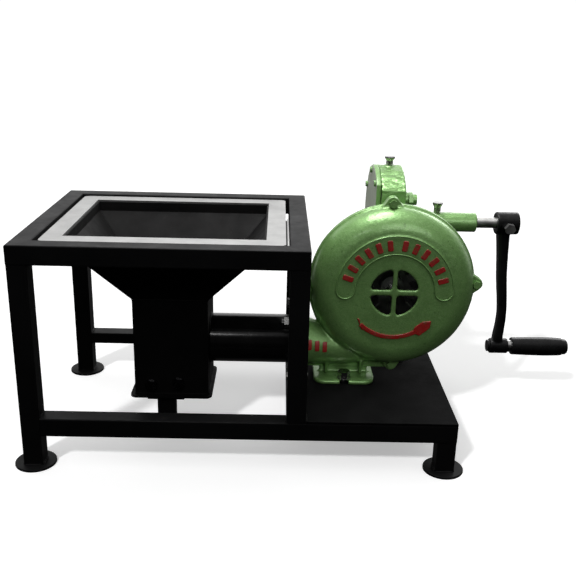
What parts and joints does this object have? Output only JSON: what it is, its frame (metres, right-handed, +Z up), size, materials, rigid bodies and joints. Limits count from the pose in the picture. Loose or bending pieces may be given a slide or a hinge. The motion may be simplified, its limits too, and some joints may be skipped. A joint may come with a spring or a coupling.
{
  "type": "coal forge",
  "caption": "Small bench-height coal forge: square-tube stand with a sheet-steel fire pot, air pipe and a geared hand-crank fan blower on a side plate.",
  "frame": {"origin": "centre of the overall plan outline, on the floor", "axes": "+X from the hearth to the crank, +Y from the front to the back, +Z up"},
  "size_m": [0.8066, 0.3506, 0.3832],
  "materials": {
    "frame_black": "satin black enamel",
    "pot_black": "matt black heat paint",
    "rim_steel": "brushed bare sheet steel",
    "grate_iron": "rough sand-cast",
    "blower_green": "pearl green enamel on rough cast iron",
    "cover_grey": "grey-green enamel",
    "mark_red": "gloss red enamel",
    "impeller_alloy": "cast",
    "steel": "zinc plated",
    "bronze": "machined",
    "gear_steel": "machined and oiled",
    "crank_black": "gloss black enamel",
    "grip_black": "moulded, smooth"
  },
  "bodies": {
    "stand": {"air_pipe": "pot_black", "base_plate": "frame_black", "base_rail_middle": "frame_black", "base_rail_right": "frame_black", "chute_bottom_plate": "pot_black", "countershaft_bushes": "bronze", "cover_bolts": "blower_green", "crank_bushes": "bronze", "fan_bushes": "bronze", "fan_end_plug": "steel", "filler_plug": "blower_green", "fire_grate": "grate_iron", "foot_bolts": "steel", "foot_discs": "frame_black", "foot_nuts": "steel", "foot_washers": "steel", "front_cover": "blower_green", "gear_case": "blower_green", "gear_case_bolts": "steel", "gear_case_cover": "cover_grey", "gear_cover_screws": "cover_grey", "leg_back_right": "frame_black", "leg_front_right": "frame_black", "lower_rail_back": "frame_black", "lower_rail_front": "frame_black", "oil_plugs": "steel", "outlet_bolts": "steel", "outlet_nuts": "steel", "pipe_flange": "pot_black", "post_back_left": "frame_black", "post_back_right": "frame_black", "post_front_left": "frame_black", "post_front_right": "frame_black", "pot_bolts": "pot_black", "pot_chute": "pot_black", "pot_hopper": "pot_black", "pot_nuts": "pot_black", "pot_rim": "rim_steel", "pot_support_leg": "frame_black", "raised_marks": "mark_red", "rear_casing": "blower_green", "saddle_plate": "frame_black", "side_strip": "rim_steel", "top_rail_back": "frame_black", "top_rail_front": "frame_black", "top_rail_left": "frame_black", "top_rail_right": "frame_black"},
    "crank": {"crank_shaft": "steel", "crank_gear": "gear_steel", "crank_arm": "crank_black", "crank_set_bolt": "steel", "handle_spindle": "crank_black", "handle_nut": "steel"},
    "grip": {"grip": "grip_black"},
    "countershaft": {"countershaft": "steel", "countershaft_pinion": "gear_steel", "worm_wheel": "bronze"},
    "fan": {"fan_shaft": "steel", "impeller": "impeller_alloy", "impeller_nut": "steel"}
  },
  "joints": [
    {"name": "crank_turn", "type": "hinge", "parent": "stand", "child": "crank", "pos_m": [0.251, 0.079, 0.2867], "axis": [1, 0, 0], "continuous": true},
    {"name": "countershaft_turn", "type": "hinge", "parent": "stand", "child": "countershaft", "pos_m": [0.101, 0.12543, 0.2487], "axis": [1, 0, 0], "continuous": true},
    {"name": "fan_turn", "type": "hinge", "parent": "stand", "child": "fan", "pos_m": [0.104, 0.039, 0.216], "axis": [0, 1, 0], "continuous": true},
    {"name": "grip_spin", "type": "hinge", "parent": "crank", "child": "grip", "pos_m": [0.361, 0.079, 0.0867], "axis": [1, 0, 0], "continuous": true}
  ],
  "couplings": [
    {"joint": "countershaft_turn", "follows": "crank_turn", "ratio": -4},
    {"joint": "fan_turn", "follows": "crank_turn", "ratio": 24}
  ]
}
